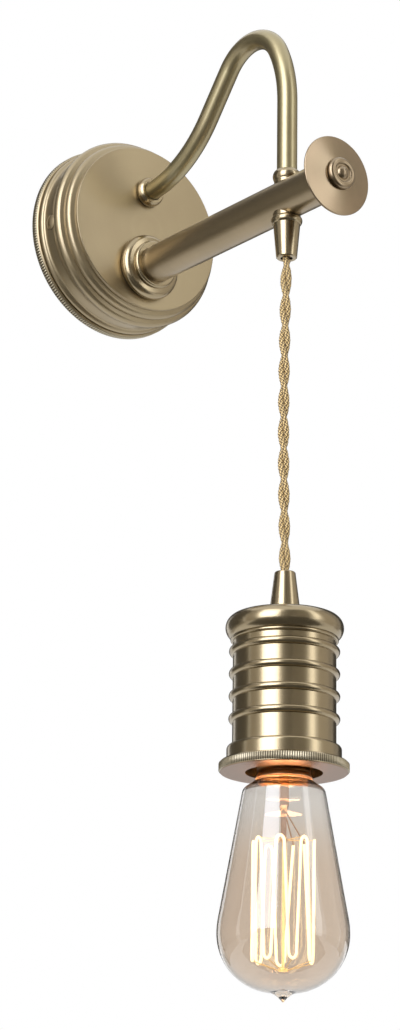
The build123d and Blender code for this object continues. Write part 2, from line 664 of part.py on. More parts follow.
def shade_ring():
    bore = BODY_R + FIT
    top = FLANGE_TOP_Z + RING_COLLAR_H
    soft = RING_COLLAR_ROUND
    edge = RING_EDGE_ROUND
    return on_lamp_axis(turned(
        (bore, top), (RING_COLLAR_R - soft, top),
        ((RING_COLLAR_R - 0.29 * soft, top - 0.29 * soft), (RING_COLLAR_R, top - soft)),
        (RING_COLLAR_R, FLANGE_TOP_Z), (RING_FLANGE_R - edge, FLANGE_TOP_Z),
        (RING_FLANGE_R, FLANGE_TOP_Z - edge), (RING_FLANGE_R, FLANGE_UNDER_Z + edge),
        (RING_FLANGE_R - edge, FLANGE_UNDER_Z), (RING_HOLE_R, FLANGE_UNDER_Z),
        (RING_HOLE_R, FLANGE_TOP_Z), (bore, FLANGE_TOP_Z)))


def holder_insert():
    """Moulded insert: a wide head held in the sleeve and a narrow skirt round the screw shell."""
    shell_outer = SHELL_R + SHELL_WALL + FIT
    shell_top = LAMP_CAP_TOP_Z + SHELL_ABOVE_CAP
    head_top = CONTACT_TOP_Z + INSERT_TOP_H
    head_low = head_top - INSERT_SKIRT
    low = shell_top - SHELL_L + 1.0
    room = CONTACT_TOP_Z + TONGUE_ROOM
    wide = BODY_R - BODY_WALL - SLIP
    return on_lamp_axis(turned(
        (0, head_top), (wide, head_top), (wide, head_low), (INSERT_SHOULDER_R, head_low),
        (INSERT_SHOULDER_R, low), (shell_outer, low), (shell_outer, shell_top), (TONGUE_L, shell_top),
        (TONGUE_L, room), (0, room)))


def screw_shell():
    top = LAMP_CAP_TOP_Z + SHELL_ABOVE_CAP
    return on_lamp_axis(ring(SHELL_R + SHELL_WALL, SHELL_R, top - SHELL_L, top))


def contact_tongue():
    """Sprung strip above the lamp's contact, on a post from the insert."""
    low = CONTACT_TOP_Z + SLIP
    room = CONTACT_TOP_Z + TONGUE_ROOM
    strip = Pos(0, 0, low) * Box(TONGUE_L, TONGUE_W, TONGUE_T, align=BASE)
    post = Pos((TONGUE_L - TONGUE_POST) / 2, 0, low) * Box(TONGUE_POST, TONGUE_W, room - low, align=BASE)
    return on_lamp_axis(strip + post)


def holder_terminals():
    low = CONTACT_TOP_Z + INSERT_TOP_H
    return [on_lamp_axis(Pos(side * TERMINAL_X, 0, 0) * rod(TERMINAL_R, low, low + TERMINAL_H))
            for side in (-1, 1)]


# ------------------------------------------------------------------ bulb
def glass_edges(inset, tip=0.0):
    """Outline of the glass from the crown to the open neck, moved in by the wall."""
    lean = degrees(asin((PIP_R - CROWN_FLAT_R) / CROWN_R))
    start = (PIP_R - inset * sin(radians(lean)), tip + PIP_H + inset * cos(radians(lean)))
    heading = (cos(radians(lean)), sin(radians(lean)))
    crown = JernArc(start, heading, CROWN_R - inset, QUARTER_TURN - lean)
    belt = JernArc(crown @ 1, crown % 1, BELT_R - inset, SIDE_TILT)
    side = Line(belt @ 1, belt @ 1 + (belt % 1) * SIDE_L)
    shoulder = JernArc(side @ 1, side % 1, SHOULDER_R - inset, SHOULDER_TILT - SIDE_TILT)
    slope = Line(shoulder @ 1, shoulder @ 1 + (shoulder % 1) * SHOULDER_RUN)
    neck = JernArc(slope @ 1, slope % 1, NECK_EASE_IN_R + inset, -SHOULDER_TILT)
    end = Line(neck @ 1, neck @ 1 + (neck % 1) * NECK_L)
    return [crown, belt, side, shoulder, slope, neck, end]


GLASS_NECK_R = (glass_edges(0)[-1] @ 1).X
GLASS_H = (glass_edges(0)[-1] @ 1).Y
GLASS_NECK_Z = LAMP_CAP_END_Z + NECK_IN_CAP
BULB_TIP_Z = GLASS_NECK_Z - GLASS_H
CAGE_TOP_Z = BULB_TIP_Z + STAR_TOP_UP + STAR_T / 2
CAGE_LOW_Z = BULB_TIP_Z + STAR_LOW_UP + STAR_T / 2 + LOW_HOOK_RISE


def bulb_glass():
    """Blown envelope, open at the neck, with the drawn-out pip at its tip."""
    outer = glass_edges(0, BULB_TIP_Z)
    inner = glass_edges(GLASS_T, BULB_TIP_Z)
    tip = (PIP_TIP_R, BULB_TIP_Z)
    pip = ThreePointArc(tip, (0.38 * PIP_R, BULB_TIP_Z + 0.48 * PIP_H), outer[0] @ 0)
    floor = (0, BULB_TIP_Z + PIP_H + GLASS_T)
    edges = [Line((0, BULB_TIP_Z), tip), pip] + outer + [Line(outer[-1] @ 1, inner[-1] @ 1)] + inner
    edges += [Line(inner[0] @ 0, floor), Line(floor, (0, BULB_TIP_Z))]
    return on_lamp_axis(revolve(Plane.XZ * make_face(edges), Axis.Z))


def bulb_cap():
    """Metal screw cap, plain where the thread is."""
    wall = LAMP_CAP_WALL
    low = LAMP_CAP_END_Z
    top = LAMP_CAP_TOP_Z
    waist = low + LAMP_SKIRT_H
    return on_lamp_axis(turned(
        (LAMP_SKIRT_R, low), (LAMP_CAP_R, waist), (LAMP_CAP_R, top - LAMP_SHOULDER_H),
        (LAMP_SHOULDER_R, top), (LAMP_SHOULDER_R - wall - 0.6, top),
        (LAMP_CAP_R - wall, top - LAMP_SHOULDER_H - 0.2), (LAMP_CAP_R - wall, waist),
        (LAMP_SKIRT_R - wall, low)))


def bulb_insulator():
    low = LAMP_CAP_TOP_Z
    return on_lamp_axis(turned((0, low), (LAMP_SHOULDER_R, low), (CONTACT_R + 0.6, low + INSULATOR_H),
                               (0, low + INSULATOR_H)))


def bulb_contact():
    low = LAMP_CAP_TOP_Z + INSULATOR_H
    return on_lamp_axis(turned((0, low), (CONTACT_R, low), dome(CONTACT_R, low, CONTACT_H)))


def bulb_stem():
    """Glass stem: flare that closes the neck, tube, press, rod and the two star buttons."""
    seal = GLASS_NECK_R - GLASS_T - FIT
    top = GLASS_NECK_Z
    press = BULB_TIP_Z + STEM_PRESS_UP
    star = BULB_TIP_Z + STAR_TOP_UP
    low = BULB_TIP_Z + STAR_LOW_UP
    body = turned((0, low), (STAR_R, low), (STAR_R, low + STAR_T), (LOW_ROD_R, low + STAR_T + 0.6),
                  (LOW_ROD_R, star - 0.6), (STAR_R, star), (STAR_R, star + STAR_T),
                  (STEM_ROD_R, star + STAR_T + 0.8), (STEM_ROD_R, press - 1.5), (STEM_R, press + 1.0),
                  (STEM_R, top - 6.0), ((STEM_R + 1.6, top - 2.0), (seal, top - FLARE_T)),
                  (seal, top), (0, top))
    return on_lamp_axis(body)


def cage_turns():
    """Turns of the filament, from one end to the other: angle and height, high and low by turns."""
    step = 360 / (CAGE_STRANDS + 1)
    return [(CAGE_START_ANGLE + number * step, CAGE_LOW_Z if number % 2 else CAGE_TOP_Z)
            for number in range(CAGE_STRANDS + 1)]


def cage_point(angle, height):
    return Vector(CAGE_R * cos(radians(angle)), CAGE_R * sin(radians(angle)), height)


def wire(start, end, radius):
    return Plane(origin=start, z_dir=end - start) * Cylinder(radius, (end - start).length, align=BASE)


def bulb_filament():
    """One long wire that runs up and down round the cage between its high and its low turns."""
    points = [cage_point(angle, height) for angle, height in cage_turns()]
    cage = wire(points[0], points[1], FILAMENT_R)
    for here, there in zip(points[1:], points[2:]):
        cage += Pos(*here) * Sphere(FILAMENT_R)
        cage += wire(here, there, FILAMENT_R)
    return on_lamp_axis(cage)


def bulb_hooks():
    """Support wires that reach out from the two stars to the turns of the filament."""
    wires = []
    for angle, height in cage_turns()[1:-1]:
        turn = cage_point(angle, height)
        star = height - LOW_HOOK_RISE if height == CAGE_LOW_Z else height
        out = Vector(cos(radians(angle)), sin(radians(angle)), 0)
        start = out * (STAR_R + 2 * FIT) + Vector(0, 0, star)
        end = turn - (turn - start).normalized() * (FILAMENT_R + FIT)
        wires.append(on_lamp_axis(wire(start, end, HOOK_R)))
    return wires


def bulb_leads():
    """The two lead wires from the press of the stem to the ends of the filament."""
    press = BULB_TIP_Z + STEM_PRESS_UP
    wires = []
    for angle, height in (cage_turns()[0], cage_turns()[-1]):
        out = Vector(cos(radians(angle)), sin(radians(angle)), 0)
        start = out * (STEM_ROD_R + LEAD_R) + Vector(0, 0, press - LEAD_BELOW_PRESS)
        end = out * CAGE_R + Vector(0, 0, height + FILAMENT_R)
        wires.append(on_lamp_axis(wire(start, end, LEAD_R)))
    return wires


keep("wall_plate", wall_plate())
keep("cover", cover())
keep("side_screws", *side_screws())
keep("terminal_block", terminal_block())
keep("terminal_screws", *terminal_screws())
keep("earth_tag", earth_tag())
keep("earth_screw", earth_screw())
keep("arm_tube", arm_tube())
keep("arm_collar", arm_collar())
keep("arm_bush", arm_bush())
keep("arm_nipple", arm_nipple())
keep("arm_washer", arm_washer())
keep("arm_nut", arm_nut())
keep("end_bush", end_bush())
keep("end_disc", end_disc())
keep("finial", finial())
keep("swan_neck", swan_neck())
keep("neck_collar", neck_collar())
keep("neck_nut", neck_nut())
keep("upper_collar", upper_collar())
keep("outlet_collar", outlet_collar())
keep("outlet_nipple", outlet_nipple())
keep("outlet_cone", outlet_cone())
keep("outlet_grip", outlet_grip())
keep("inner_flex", inner_flex())
keep("flex_bend", flex_bend())
keep("flex", flex())
keep("holder_cone", holder_cone())
keep("holder_nipple", holder_nipple())
keep("holder_nut", holder_nut())
keep("holder_cap", holder_cap())
keep("holder_body", holder_body())
keep("shade_ring", shade_ring())
keep("holder_insert", holder_insert())
keep("screw_shell", screw_shell())
keep("contact_tongue", contact_tongue())
keep("holder_terminals", *holder_terminals())
keep("bulb_contact", bulb_contact())
keep("bulb_insulator", bulb_insulator())
keep("bulb_cap", bulb_cap())
keep("bulb_glass", bulb_glass())
keep("bulb_stem", bulb_stem())
keep("bulb_hooks", *bulb_hooks())
keep("bulb_filament", bulb_filament())
keep("bulb_leads", *bulb_leads())

print(f"reach {REACH:.2f}, pivot {PIVOT_Z:.2f}, flange underside {FLANGE_UNDER_Z:.2f}")
print(f"bulb tip {BULB_TIP_Z:.2f}, contact top {CONTACT_TOP_Z:.2f}, unscrew travel "
      f"{THREAD_PITCH * UNSCREW_TURNS:.2f}")
print(f"flex radii {NECK_RISE_R}, {NECK_ARCH_R}, {NECK_EASE_R}, {FLEX_TURN_R}")
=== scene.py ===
"""Looks of the hanging pendant wall sconce: satin aged brass, knurled edges, a twisted gold flex
and a glowing pear-shaped bulb, built round the fixed model of the light."""
from math import cos, pi, radians, sin

import bpy
from bpy.props import FloatProperty, FloatVectorProperty, IntProperty, PointerProperty
from bpy.types import Operator, Panel, PropertyGroup
from mathutils import Matrix, Vector


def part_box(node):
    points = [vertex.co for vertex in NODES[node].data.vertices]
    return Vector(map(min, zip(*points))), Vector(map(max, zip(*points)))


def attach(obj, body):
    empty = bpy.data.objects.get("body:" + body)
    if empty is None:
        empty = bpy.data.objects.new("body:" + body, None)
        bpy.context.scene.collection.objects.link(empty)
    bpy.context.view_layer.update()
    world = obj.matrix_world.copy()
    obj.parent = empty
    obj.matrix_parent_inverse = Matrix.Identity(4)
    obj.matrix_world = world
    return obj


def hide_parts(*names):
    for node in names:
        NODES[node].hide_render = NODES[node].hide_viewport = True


bl_info = {
    "name": "Hanging pendant wall sconce",
    "version": (1, 0, 0),
    "blender": (4, 5, 0),
    "location": "View3D > Sidebar > Sconce",
    "description": "Brass, flex, bulb and studio for a hanging pendant wall sconce",
    "category": "Object",
}

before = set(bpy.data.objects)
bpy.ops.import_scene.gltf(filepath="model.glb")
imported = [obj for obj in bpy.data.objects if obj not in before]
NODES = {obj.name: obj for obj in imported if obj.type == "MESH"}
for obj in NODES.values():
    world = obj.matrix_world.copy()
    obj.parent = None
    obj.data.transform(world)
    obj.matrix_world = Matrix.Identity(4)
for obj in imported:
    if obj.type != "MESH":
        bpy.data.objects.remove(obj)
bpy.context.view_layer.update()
MM = 0.001

# ------------------------------------------------------------------ places read from the model
LAMP_LOW, LAMP_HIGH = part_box("holder_body")
LAMP_X = (LAMP_LOW.x + LAMP_HIGH.x) / 2
LAMP_Y = (LAMP_LOW.y + LAMP_HIGH.y) / 2
ARM_LOW, ARM_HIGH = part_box("arm_tube")
ARM_Z = (ARM_LOW.z + ARM_HIGH.z) / 2
NECK_NUT_LOW, NECK_NUT_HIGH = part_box("neck_nut")
NECK_Z = (NECK_NUT_LOW.z + NECK_NUT_HIGH.z) / 2
HOLDER_TOP_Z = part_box("holder_cone")[1].z
FLEX_TOP_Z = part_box("flex")[1].z
FLEX_END_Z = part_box("flex")[0].z

# ------------------------------------------------------------------ the photograph's camera
CAMERA_AZIMUTH = -37.25
CAMERA_ELEVATION = -17.0
CAMERA_ROLL = 0.82
CAMERA_LENS = 97.55
CAMERA_PLACE = (-0.8422, -1.1936, -0.6037)
TOWARD_CAMERA = Vector((sin(radians(CAMERA_AZIMUTH)), -cos(radians(CAMERA_AZIMUTH)), 0))
CAMERA_RIGHT = Vector((cos(radians(CAMERA_AZIMUTH)), sin(radians(CAMERA_AZIMUTH)), 0))

# ------------------------------------------------------------------ the studio's fixed measures
STUDIO_CENTRE = Vector((LAMP_X, LAMP_Y, -0.15))   # the point that the lamps and cards face
FLOOR_Z = -0.86
FLOOR_REACH = 6.0
LAMP_DISTANCE = 1.5
CARD_ELEVATION = 14.0
CARD_DISTANCE = 1.7
CARD_HEIGHT = 2.6
WHITE = (1, 1, 1, 1)
DAYLIGHT = (0.94, 0.97, 1.08)
BULB_LIGHT = (1.0, 0.56, 0.28)
CARD_TINT = (1.0, 0.93, 0.82)

# ------------------------------------------------------------------ pairs of colours that mix
STEEL = (0.55, 0.53, 0.49), (0.66, 0.65, 0.62)
CONTACT = (0.78, 0.55, 0.24), (0.60, 0.38, 0.15)
DARK_MOULDING = (0.055, 0.033, 0.016), (0.095, 0.055, 0.026)
PALE_MOULDING = (0.74, 0.71, 0.63), (0.80, 0.78, 0.71)
STEM_GLASS = (0.90, 0.70, 0.58), (0.66, 0.44, 0.32)
STEM_GLOW = (0.0, 0.0, 0.0), (1.0, 0.80, 0.30)
CAP_SHINY = (0.82, 0.52, 0.30), (0.66, 0.39, 0.20)
# The second cap pair is a dark copy of the cap colour: painted shade for the cap up inside the
# ring.
CAP_SHADED = (0.26, 0.14, 0.055), (0.17, 0.085, 0.03)
BLACK_GLASS = (0.02, 0.02, 0.025), (0.05, 0.05, 0.06)
WIRE = (0.36, 0.21, 0.12), (0.55, 0.36, 0.22)
LIT_WIRE = (0.72, 0.50, 0.25), (0.85, 0.64, 0.36)
LIT_WIRE_GLOW = (1.0, 0.70, 0.30), (1.0, 0.82, 0.48)
FILAMENT_BASE = (0.9, 0.7, 0.4)
FILAMENT_PALE = (1.0, 0.88, 0.62)
GLASS_IOR = 1.45


# ------------------------------------------------------------------ what a user may change
class BrassSettings(PropertyGroup):
    colour: FloatVectorProperty(
        name="Brass", description="Colour of the satin brass where it is clean", subtype="COLOR",
        size=3, min=0, max=1, default=(0.43, 0.345, 0.205))
    patina: FloatVectorProperty(
        name="Patina", description="Colour of the darker, aged patches", subtype="COLOR",
        size=3, min=0, max=1, default=(0.37, 0.29, 0.17))
    brown: FloatVectorProperty(
        name="Brown brass", description="Colour of the browner end disc and its finial",
        subtype="COLOR", size=3, min=0, max=1, default=(0.37, 0.27, 0.165))
    arm: FloatVectorProperty(
        name="Arm brass", description="Colour of the plain arm", subtype="COLOR",
        size=3, min=0, max=1, default=(0.40, 0.31, 0.185))
    neck: FloatVectorProperty(
        name="Neck brass", description="Colour of the yellower swan-neck tube", subtype="COLOR",
        size=3, min=0, max=1, default=(0.46, 0.395, 0.215))
    # The underside colour is painted shade with a warm reflected tint.
    under: FloatVectorProperty(
        name="Ring underside", description="Colour of the shaded underside of the shade ring",
        subtype="COLOR", size=3, min=0, max=1, default=(0.24, 0.14, 0.085))
    # The ridge-top colour is a painted highlight on the knurled ridges.
    ridge: FloatVectorProperty(
        name="Ridge tops", description="Colour of the highlighted tops of the knurled ridges",
        subtype="COLOR", size=3, min=0, max=1, default=(0.62, 0.54, 0.37))
    # This darker colour is painted shade, laid into grooves and where parts meet.
    groove_shade: FloatVectorProperty(
        name="Crevices", description="Colour of the dark lines left in grooves", subtype="COLOR",
        size=3, min=0, max=1, default=(0.10, 0.075, 0.04))
    roughness: FloatProperty(
        name="Satin", description="Roughness of the satin finish", min=0, max=1, default=0.25)
    lacquer: FloatProperty(
        name="Lacquer", description="Strength of the clear lacquer over the brass", min=0, max=1,
        default=0.8)
    knurl_pitch: FloatProperty(
        name="Knurl pitch", description="Distance between the ridges of a knurled edge",
        subtype="DISTANCE", unit="LENGTH", default=1.18 * MM, precision=5)
    knurl_height: FloatProperty(
        name="Knurl height", description="Height of the ridges of a knurled edge",
        subtype="DISTANCE", unit="LENGTH", default=0.42 * MM, precision=5)


class FlexSettings(PropertyGroup):
    strand: FloatProperty(
        name="Strand radius", description="Radius of one braided strand", subtype="DISTANCE",
        unit="LENGTH", default=1.62 * MM, precision=5)
    spread: FloatProperty(
        name="Strand spread", description="Distance from the flex's line to a strand's centre",
        subtype="DISTANCE", unit="LENGTH", default=1.40 * MM, precision=5)
    lay: FloatProperty(
        name="Lay", description="Length of one full twist", subtype="DISTANCE", unit="LENGTH",
        default=33.1 * MM, precision=5)
    yarn: FloatVectorProperty(
        name="Yarn", description="Colour of the silky yarn on top of the weave", subtype="COLOR",
        size=3, min=0, max=1, default=(0.98, 0.71, 0.31))
    # The colour where the weave dips is painted shade between the yarns.
    shade: FloatVectorProperty(
        name="Yarn in the gaps", description="Colour of the yarn where the weave dips",
        subtype="COLOR", size=3, min=0, max=1, default=(0.09, 0.05, 0.015))
    yarns: IntProperty(
        name="Yarns", description="Number of yarns seen round one strand", min=4, max=24, default=5)
    yarn_length: FloatProperty(
        name="Yarn length", description="Length of one yarn's crossing in the braid",
        subtype="DISTANCE", unit="LENGTH", default=2.5 * MM, precision=5)


class BulbSettings(PropertyGroup):
    tint: FloatVectorProperty(
        name="Glass tint", description="Colour that the glass gives to what is seen through it",
        subtype="COLOR", size=3, min=0, max=1, default=(0.80, 0.775, 0.745))
    # A painted glow of the filament's light tints this glass.
    painted_glow_tint: FloatVectorProperty(
        name="Glass tint by the cage", description="Warmer colour of the glass round the filament",
        subtype="COLOR", size=3, min=0, max=1, default=(0.775, 0.685, 0.595))
    # The darker glass seen edge on is painted shade.
    painted_edge_shade: FloatVectorProperty(
        name="Glass edge", description="Darker tint where the glass is seen edge on",
        subtype="COLOR", size=3, min=0, max=1, default=(0.34, 0.30, 0.26))
    glow: FloatVectorProperty(
        name="Glow", description="Colour of the filament's light", subtype="COLOR",
        size=3, min=0, max=1, default=(1.0, 0.84, 0.50))
    glow_strength: FloatProperty(
        name="Glow strength", description="Brightness of the filament", min=0, max=20, default=2.3)
    strand: FloatProperty(
        name="Filament strand", description="Radius of the glowing filament", subtype="DISTANCE",
        unit="LENGTH", default=0.72 * MM, precision=5)
    warmth: FloatProperty(
        name="Bulb light", description="Power of the warm light that the bulb gives",
        subtype="POWER", min=0, max=10, default=0.10)
    thread_pitch: FloatProperty(
        name="Thread pitch", description="Pitch of the lamp cap's rounded thread",
        subtype="DISTANCE", unit="LENGTH", default=3.62 * MM, precision=5)


class StudioSettings(PropertyGroup):
    surround: FloatProperty(
        name="Surround", description="Brightness of the pale studio all round", min=0, max=3,
        default=0.85)
    key: FloatProperty(
        name="Key light", description="Power of the tall soft light at the left", subtype="POWER",
        min=0, max=200, default=9.0)
    rim: FloatProperty(
        name="Strip light", description="Power of the narrow light at the right", subtype="POWER",
        min=0, max=200, default=1.15)
    floor: FloatVectorProperty(
        name="Floor", description="Colour of the floor", subtype="COLOR", size=3, min=0, max=1,
        default=(0.84, 0.83, 0.81))


# ------------------------------------------------------------------ shader maths
class Value:
    """A shader socket that takes part in sums, so that maths on a surface reads as maths."""

    def __init__(self, tree, socket):
        self.tree = tree
        self.socket = socket

    def _math(self, operation, first, second=None):
        node = self.tree.nodes.new("ShaderNodeMath")
        node.operation = operation
        for slot, value in zip(node.inputs, (first, second)):
            if isinstance(value, Value):
                self.tree.links.new(value.socket, slot)
            elif value is not None:
                slot.default_value = value
        return Value(self.tree, node.outputs[0])

    def __add__(self, other):
        return self._math("ADD", self, other)

    def __radd__(self, other):
        return self._math("ADD", other, self)

    def __sub__(self, other):
        return self._math("SUBTRACT", self, other)

    def __rsub__(self, other):
        return self._math("SUBTRACT", other, self)

    def __mul__(self, other):
        return self._math("MULTIPLY", self, other)

    def __rmul__(self, other):
        return self._math("MULTIPLY", other, self)

    def root(self):
        return self._math("SQRT", self)

    def whole(self):
        return self._math("FLOOR", self)

    def part(self):
        return self._math("FRACT", self)

    def size(self):
        return self._math("ABSOLUTE", self)


class Finish:
    """One material: its Principled shader and the nodes that vary its look."""

    def __init__(self, name, **constants):
        self.material = bpy.data.materials.new(name)
        self.material.use_nodes = True
        self.tree = self.material.node_tree
        self.shader = self.tree.nodes["Principled BSDF"]
        for key, value in constants.items():
            if isinstance(value, tuple):
                value = (*value, 1)
            self.shader.inputs[key.replace("_", " ")].default_value = value

    def node(self, kind, settings=None, inputs=None, output=0):
        """Add any node: settings first, then the values or links of its sockets."""
        node = self.tree.nodes.new(kind)
        for key, value in (settings or {}).items():
            setattr(node, key, value)
        for key, value in (inputs or {}).items():
            if isinstance(value, Value):
                self.tree.links.new(value.socket, node.inputs[key])
            else:
                node.inputs[key].default_value = value
        return Value(self.tree, node.outputs[output])

    def place(self):
        """The point on the piece, in the piece's own coordinates."""
        return self.node("ShaderNodeTexCoord", output="Object")

    def axes(self, vector):
        split = self.tree.nodes.new("ShaderNodeSeparateXYZ")
        self.tree.links.new(vector.socket, split.inputs[0])
        return [Value(self.tree, socket) for socket in split.outputs]

    def vector(self, x, y):
        return self.node("ShaderNodeCombineXYZ", inputs={"X": x, "Y": y})

    def noise(self, vector, scale, detail=2.0, roughness=0.5):
        return self.node("ShaderNodeTexNoise", {"noise_dimensions": "3D"},
                         {"Vector": vector, "Scale": scale, "Detail": detail,
                          "Roughness": roughness})

    def between(self, value, low, high, to_low=0.0, to_high=1.0):
        return self.node("ShaderNodeMapRange", {"interpolation_type": "SMOOTHSTEP"},
                         {"Value": value, "From Min": low, "From Max": high,
                          "To Min": to_low, "To Max": to_high})

    def mix(self, amount, first, second):
        node = self.tree.nodes.new("ShaderNodeMix")
        node.data_type = "RGBA"
        for number, value in ((0, amount), (6, first), (7, second)):
            slot = node.inputs[number]
            if isinstance(value, Value):
                self.tree.links.new(value.socket, slot)
            elif isinstance(value, (int, float)):
                slot.default_value = value
            else:
                slot.default_value = (*value, 1)
        return Value(self.tree, node.outputs[2])

    def feed(self, socket, value):
        self.tree.links.new(value.socket, self.shader.inputs[socket])

    def bump(self, height, distance, strength=1.0):
        self.feed("Normal", self.node("ShaderNodeBump", inputs={
            "Height": height, "Distance": distance, "Strength": strength}))


# ------------------------------------------------------------------ mesh helpers
def dress(material, *names):
    """Give carried-over pieces of the model their finish."""
    for name in names:
        data = NODES[name].data
        data.materials.clear()
        data.materials.append(material)
        data.polygons.foreach_set("material_index", [0] * len(data.polygons))


def ring_faces(rings, sides):
    """Quads between neighbouring rings of vertices; the last ring meets the first."""
    faces = []
    for row in range(rings):
        here, there = row * sides, (row + 1) % rings * sides
        for side in range(sides):
            turn = (side + 1) % sides
            faces.append((here + side, here + turn, there + turn, there + side))
    return faces


def add_piece(name, data, material, body, stands_for=()):
    """Put a mesh into the scene, smooth and in its finish, on the body that carries it."""
    data.shade_smooth()
    data.materials.clear()
    data.materials.append(material)
    piece = bpy.data.objects.new(name, data)
    bpy.context.scene.collection.objects.link(piece)
    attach(piece, body)
    if stands_for:
        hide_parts(*stands_for)
    return piece


def piece_from(name, vertices, faces, material, body, stands_for=()):
    """A piece from its vertices and faces."""
    data = bpy.data.meshes.new(name)
    data.from_pydata(vertices, [], faces)
    data.validate()
    return add_piece(name, data, material, body, stands_for)


def curve_mesh(points, **wire):
    """Mesh of a curve: a smooth line led by the points or, with bevel settings, a wire."""
    curve = bpy.data.curves.new("line", "CURVE")
    curve.dimensions = "3D"
    spline = curve.splines.new("POLY" if wire else "NURBS")
    spline.points.add(len(points) - 1)
    for point, place in zip(spline.points, points):
        point.co = (*place, 1)
    if not wire:
        spline.order_u = 3
        spline.use_endpoint_u = True
        spline.resolution_u = 96
    for key, value in wire.items():
        setattr(curve, key, value)
    holder = bpy.data.objects.new("line", curve)
    bpy.context.scene.collection.objects.link(holder)
    bpy.context.view_layer.update()
    data = bpy.data.meshes.new_from_object(holder)
    bpy.data.objects.remove(holder)
    return data


def knurled_band(name, place, radius, low, high, body, coarse=1.0):
    """Fine straight ridges round a turned edge.  place(radial, along, turn) gives a point."""
    brass = bpy.context.scene.sconce_brass
    count = round(2 * pi * radius / (brass.knurl_pitch * coarse))
    foot, lip, crest = -0.3 * MM, 0.02 * MM, 0.05 * MM
    # across the band: distance out, share of the width, height of the ridges there
    profile = ((foot, 0.0, 0), (lip, 0.04, 0), (crest, 0.10, brass.knurl_height),
               (crest, 0.90, brass.knurl_height), (lip, 0.96, 0), (foot, 1.0, 0))
    # round the band: one groove and one ridge
    shape = (0.0, 0.0, 0.4, 1.0, 1.0)
    sides = count * len(shape)
    vertices = []
    ridges = []
    for offset, share, lift in profile:
        for step in range(sides):
            rise = shape[step % len(shape)]
            vertices.append(place(radius + offset + lift * rise, low + share * (high - low),
                                  2 * pi * step / sides))
            ridges.append(rise)
    band = piece_from(name, vertices, ring_faces(len(profile), sides),
                      bpy.data.materials["brass_ridged"], body)
    # The ridge attribute also places the painted highlight and painted shade of the knurls.
    band.data.attributes.new("ridge", "FLOAT", "POINT").data.foreach_set("value", ridges)


# ------------------------------------------------------------------ finishes
def aged_brass_with_painted_shade(name, axis, centre, tone="colour", satin=0.0, grooves=0.8, ridged=False,
               under_z=None):
    """Satin brass with turning lines round an axis, soft patina, painted shade in grooves and
    joints, painted highlights on knurled ridges and painted shade under the shade ring.
    """
    brass = bpy.context.scene.sconce_brass
    clean = getattr(brass, tone)
    finish = Finish(name, Metallic=1.0, Coat_Weight=brass.lacquer, Coat_Roughness=0.16)
    x, y, z = finish.axes(finish.place())
    if axis == "Y":
        across, upright, along = x - centre[0], z - centre[2], y
    else:
        across, upright, along = x - centre[0], y - centre[1], z
    from_axis = (across * across + upright * upright).root()
    section = finish.vector(from_axis, along)
    lines = finish.noise(section, 1500.0, 3.0, 0.7)
    broad = finish.noise(section, 260.0)
    cloud = finish.noise(finish.place(), 26.0)
    aged = finish.between(cloud * 0.75 + broad * 0.25, 0.38, 0.66)
    worn = tuple(0.5 * part + 0.5 * old * sum(clean) / sum(brass.colour)
                 for part, old in zip(clean, brass.patina))
    colour = finish.mix(aged, clean, worn)
    # The ring's underside is painted darker and rosier, without lacquer: painted shade with a warm
    # reflected tint.
    if under_z is not None:
        skin, edge = 0.05 * MM, 0.35 * MM
        shaded_underside = finish.between(along, under_z + skin, under_z + edge, 1.0, 0.0)
        colour = finish.mix(shaded_underside, colour, brass.under)
        finish.feed("Coat Weight", brass.lacquer * (1.0 - shaded_underside))
    # Knurls: the lighter ridge colour is a painted highlight, and their grooves get painted shade.
    if ridged:
        colour = brass.ridge
        ridge = finish.node("ShaderNodeAttribute", {"attribute_name": "ridge"}, output=2)
        groove = finish.between(ridge, 0.1, 0.8, 1.0, 0.0)
    else:
        # Painted shade: ambient occlusion darkens grooves and the joints between parts.
        open_sky = finish.node("ShaderNodeAmbientOcclusion", {"samples": 8},
                               {"Distance": 1.5 * MM}, output=1)
        groove = finish.between(open_sky, 0.15, 0.6, 1.0, 0.0)
    finish.feed("Base Color", finish.mix(groove * grooves, colour, brass.groove_shade))
    finish.feed("Roughness", brass.roughness + satin - 0.03 + 0.05 * lines + 0.14 * groove)
    finish.bump(lines, 0.004 * MM, 0.3)
    return finish.material


class SCONCE_OT_brass(Operator):
    """Give the turned and bent brass pieces their satin aged finish, with painted shade in grooves
    and joints
    """
    bl_idname = "sconce.brass"
    bl_label = "Aged brass"

    def execute(self, context):
        on_arm = (0, 0, ARM_Z)
        on_lamp = (LAMP_X, LAMP_Y, 0)
        ring_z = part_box("shade_ring")[0].z
        dress(aged_brass_with_painted_shade("brass_rose", "Y", (0, 0, 0), satin=0.15),
              "wall_plate", "cover", "side_screws")
        dress(aged_brass_with_painted_shade("brass_arm", "Y", on_arm, tone="arm", satin=0.09), "arm_tube")
        dress(aged_brass_with_painted_shade("brass_arm_collar", "Y", on_arm), "arm_collar")
        dress(aged_brass_with_painted_shade("brass_disc", "Y", on_arm, tone="brown", satin=0.04, grooves=0.5),
              "end_disc", "finial")
        dress(aged_brass_with_painted_shade("brass_neck_collar", "Y", (0, 0, NECK_Z)), "neck_collar")
        dress(aged_brass_with_painted_shade("brass_neck", "Z", on_lamp, tone="neck", satin=0.14, grooves=0.5),
              "swan_neck")
        dress(aged_brass_with_painted_shade("brass_lamp", "Z", on_lamp), "upper_collar", "outlet_collar",
              "outlet_cone", "holder_cone", "holder_cap", "holder_body")
        dress(aged_brass_with_painted_shade("brass_ring", "Z", on_lamp, under_z=ring_z), "shade_ring")
        aged_brass_with_painted_shade("brass_ridged", "Z", on_lamp, satin=0.12, grooves=0.96, ridged=True)
        return {"FINISHED"}


